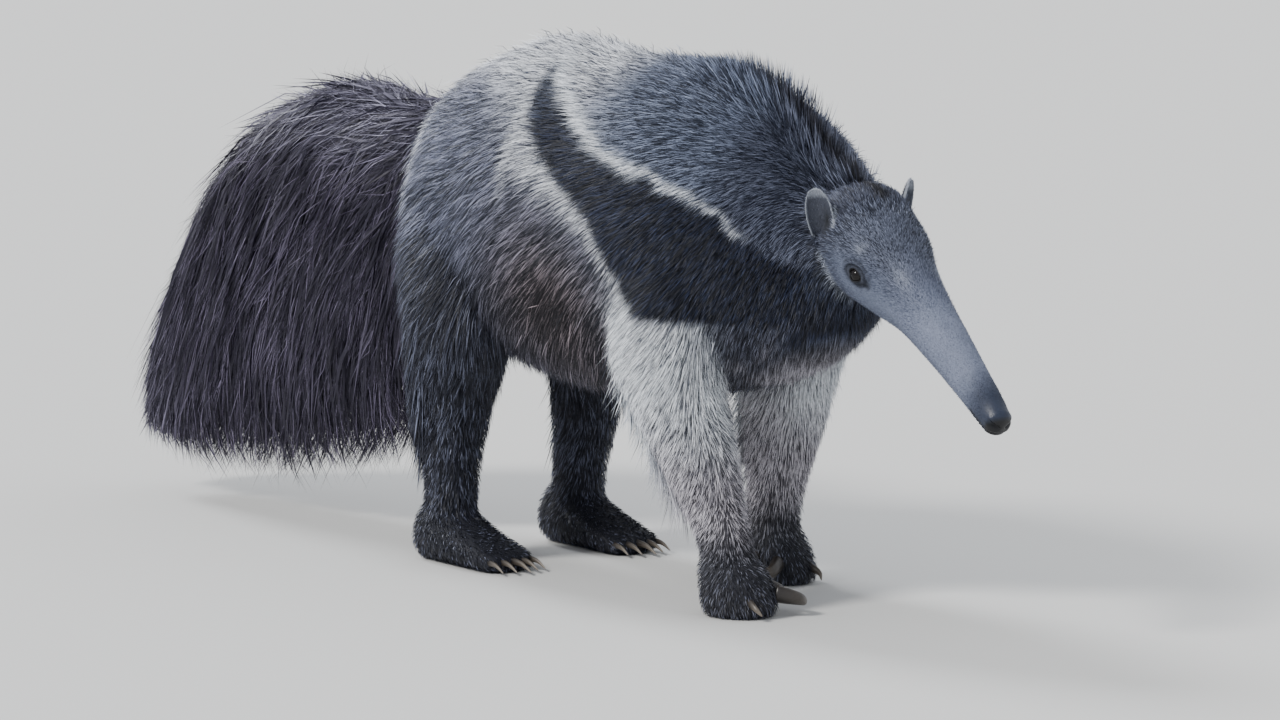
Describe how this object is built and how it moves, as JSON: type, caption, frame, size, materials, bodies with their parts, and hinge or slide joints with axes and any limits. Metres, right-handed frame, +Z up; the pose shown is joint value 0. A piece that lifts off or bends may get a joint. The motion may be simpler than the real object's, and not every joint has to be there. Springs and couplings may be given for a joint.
{
  "type": "giant anteater",
  "caption": "Life-size giant anteater standing in mid stride, long snout lowered, with a bushy hanging tail and a dark band across the shoulder.",
  "frame": {"origin": "on the floor, below the middle of the whole animal's box", "axes": "+X where the animal heads, +Y to its left, +Z up"},
  "size_m": [1.573, 0.3236, 0.5951],
  "materials": {
    "coat_dark": "coarse dark fur, blackish with grey tips",
    "coat_pale": "whitish-grey fur with dark flecks",
    "coat_head": "short salt-and-pepper grey fur",
    "eye": "wet black",
    "claw": "dark horn, slightly polished"
  },
  "bodies": {
    "root": {"ear_left": "coat_head", "ear_right": "coat_head", "eye_left": "eye", "eye_right": "eye", "foreclaw_left_1": "claw", "foreclaw_left_2": "claw", "foreclaw_left_3": "claw", "foreclaw_left_4": "claw", "foreclaw_right_1": "claw", "foreclaw_right_2": "claw", "foreclaw_right_3": "claw", "foreclaw_right_4": "claw", "forefoot_left": "coat_pale", "forefoot_right": "coat_pale", "foreleg_left": "coat_pale", "foreleg_right": "coat_pale", "head": "coat_head", "hindclaw_left_1": "claw", "hindclaw_left_2": "claw", "hindclaw_left_3": "claw", "hindclaw_left_4": "claw", "hindclaw_left_5": "claw", "hindclaw_right_1": "claw", "hindclaw_right_2": "claw", "hindclaw_right_3": "claw", "hindclaw_right_4": "claw", "hindclaw_right_5": "claw", "hindfoot_left": "coat_dark", "hindfoot_right": "coat_dark", "hindleg_left": "coat_dark", "hindleg_right": "coat_dark", "neck": "coat_dark", "tail": "coat_dark", "torso": "coat_dark"}
  },
  "joints": []
}
